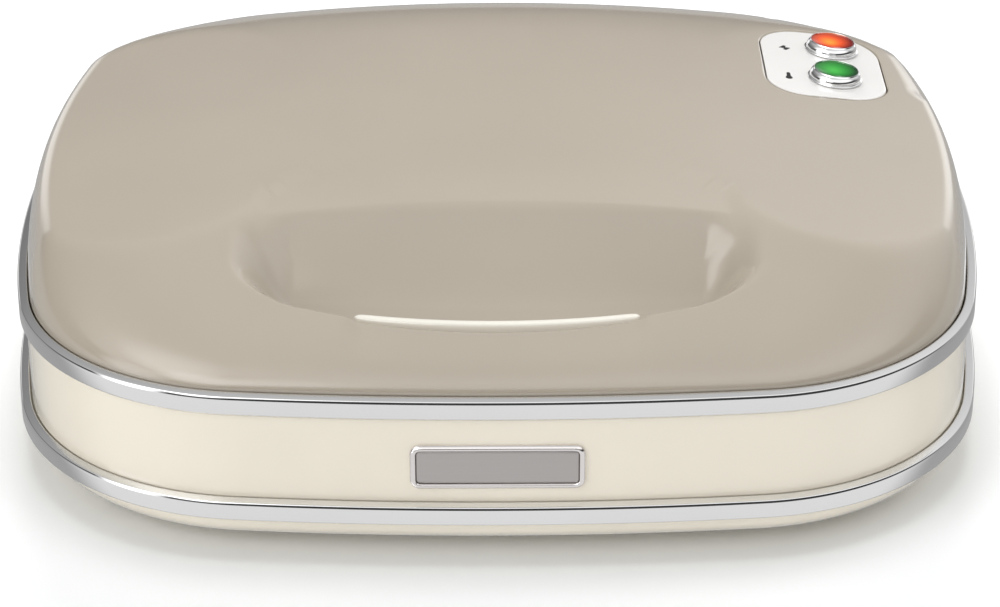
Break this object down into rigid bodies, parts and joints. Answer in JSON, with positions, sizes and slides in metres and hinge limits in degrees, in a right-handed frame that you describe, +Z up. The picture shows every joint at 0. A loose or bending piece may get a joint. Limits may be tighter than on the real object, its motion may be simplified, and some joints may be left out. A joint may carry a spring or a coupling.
{
  "type": "sandwich toaster",
  "caption": "Countertop sandwich toaster with a domed hinged lid, diagonal sandwich pockets, indicator lamps and a squeeze latch in the lid's finger scoop.",
  "frame": {"origin": "on the table below the middle of the whole toaster", "axes": "+Z up, the front with the badge and the latch faces -Y, +X to the viewer's right when looking at the front"},
  "size_m": [0.2524, 0.2346, 0.0721],
  "materials": {
    "cream_plastic": "smooth gloss",
    "beige_plastic": "smooth gloss",
    "chrome_trim": "bright polished",
    "badge_metal": "brushed face, polished border",
    "foot_rubber": "matt",
    "zinc_steel": "zinc plated",
    "spring_steel": "plain",
    "nonstick_plate": "dark non-stick coating",
    "element_sheath": "heat-dulled",
    "reflector_sheet": "bright sheet",
    "thermostat_case": "dull",
    "fuse_case": "dull",
    "terminal_plastic": "matt",
    "wire_insulation": "matt",
    "gland_plastic": "matt",
    "frame_plastic": "satin, heat resistant",
    "white_panel": "smooth gloss",
    "bezel_chrome": "bright polished",
    "amber_lens": "moulded",
    "green_lens": "moulded",
    "neon_glass": "clear",
    "holder_plastic": "matt"
  },
  "bodies": {
    "base": {"base_pan": "cream_plastic", "feet": "foot_rubber", "base_screws": "zinc_steel", "base_trim_ring": "chrome_trim", "base_shell": "cream_plastic", "badge": "badge_metal", "base_frame": "frame_plastic", "lower_plate": "nonstick_plate", "lower_plate_screws": "zinc_steel", "lower_element": "element_sheath", "lower_reflector": "reflector_sheet", "lower_thermostat": "thermostat_case", "thermal_fuse": "fuse_case", "terminal_block": "terminal_plastic", "base_wiring": "wire_insulation", "cord_gland": "gland_plastic", "latch_catch": "spring_steel", "catch_screw": "zinc_steel", "left_hinge_bracket": "zinc_steel", "right_hinge_bracket": "zinc_steel", "bracket_screws": "zinc_steel", "hinge_pins": "zinc_steel"},
    "lid": {"lid_trim_ring": "chrome_trim", "lid_shell": "beige_plastic", "lid_frame": "frame_plastic", "lid_screws": "zinc_steel", "upper_plate": "nonstick_plate", "upper_plate_screws": "zinc_steel", "upper_element": "element_sheath", "upper_reflector": "reflector_sheet", "upper_thermostat": "thermostat_case", "lid_wiring": "wire_insulation", "lamp_panel": "white_panel", "power_bezel": "bezel_chrome", "ready_bezel": "bezel_chrome", "power_lens": "amber_lens", "ready_lens": "green_lens", "neon_lamps": "neon_glass", "lamp_holder": "holder_plastic", "left_hinge_arm": "zinc_steel", "right_hinge_arm": "zinc_steel", "arm_screws": "zinc_steel", "lever_pins": "spring_steel", "lever_spring": "spring_steel"},
    "latch": {"latch_lever": "cream_plastic"}
  },
  "joints": [
    {"name": "lid_hinge", "type": "hinge", "parent": "base", "child": "lid", "pos_m": [0, 0.11225, 0.0335], "axis": [-1, 0, 0], "range_deg": [0, 105], "deforming": ["latch_catch"]},
    {"name": "latch_pivot", "type": "hinge", "parent": "lid", "child": "latch", "pos_m": [0, -0.0925, 0.045], "axis": [1, 0, 0], "range_deg": [0, 10], "stiffness_Nm_per_rad": 0.08}
  ]
}
